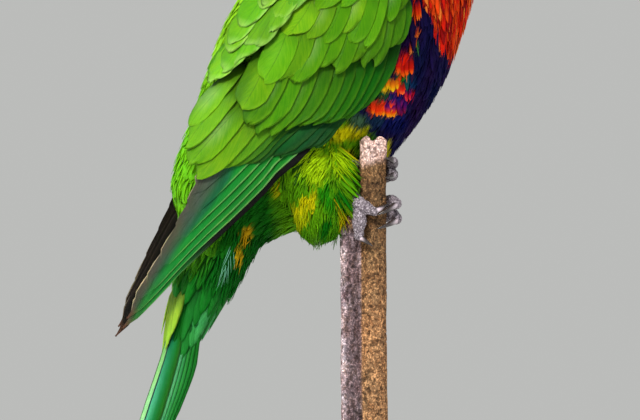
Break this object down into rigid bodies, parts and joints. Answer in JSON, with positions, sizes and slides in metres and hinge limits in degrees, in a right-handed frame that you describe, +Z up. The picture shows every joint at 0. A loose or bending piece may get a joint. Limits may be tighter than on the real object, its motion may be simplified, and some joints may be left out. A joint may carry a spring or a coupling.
{
  "type": "rainbow lorikeet",
  "caption": "Life-size still model of a rainbow lorikeet clinging to a short cut stem, with folded wings and hanging tail, held over a flat display base by a rod.",
  "frame": {"origin": "centre of the underside of the display base, on the bird's middle plane", "axes": "+X ahead of the bird, +Y to its left, +Z up"},
  "size_m": [0.1365, 0.12, 0.269],
  "materials": {
    "head_feathers": "matte",
    "neck_feathers": "matte",
    "body_feathers": "matte",
    "tail_feathers": "matte",
    "wing_feathers": "matte",
    "thigh_feathers": "matte",
    "foot_skin": "matte",
    "eye": "polished",
    "cere_skin": "matte",
    "bill_horn": "satin",
    "claw_horn": "satin",
    "bark": "matte",
    "rod_metal": "satin",
    "base_paint": "satin"
  },
  "bodies": {
    "root": {"bill_lower": "bill_horn", "bill_upper": "bill_horn", "cere": "cere_skin", "claw_left_1": "claw_horn", "claw_left_2": "claw_horn", "claw_left_3": "claw_horn", "claw_left_4": "claw_horn", "claw_right_1": "claw_horn", "claw_right_2": "claw_horn", "claw_right_3": "claw_horn", "claw_right_4": "claw_horn", "eye_left": "eye", "eye_right": "eye", "foot_left": "foot_skin", "foot_right": "foot_skin", "head": "head_feathers", "neck": "neck_feathers", "perch": "bark", "stand_base": "base_paint", "stand_rod": "rod_metal", "tail": "tail_feathers", "thigh_left": "thigh_feathers", "thigh_right": "thigh_feathers", "torso": "body_feathers", "wing_left": "wing_feathers", "wing_right": "wing_feathers"}
  },
  "joints": []
}
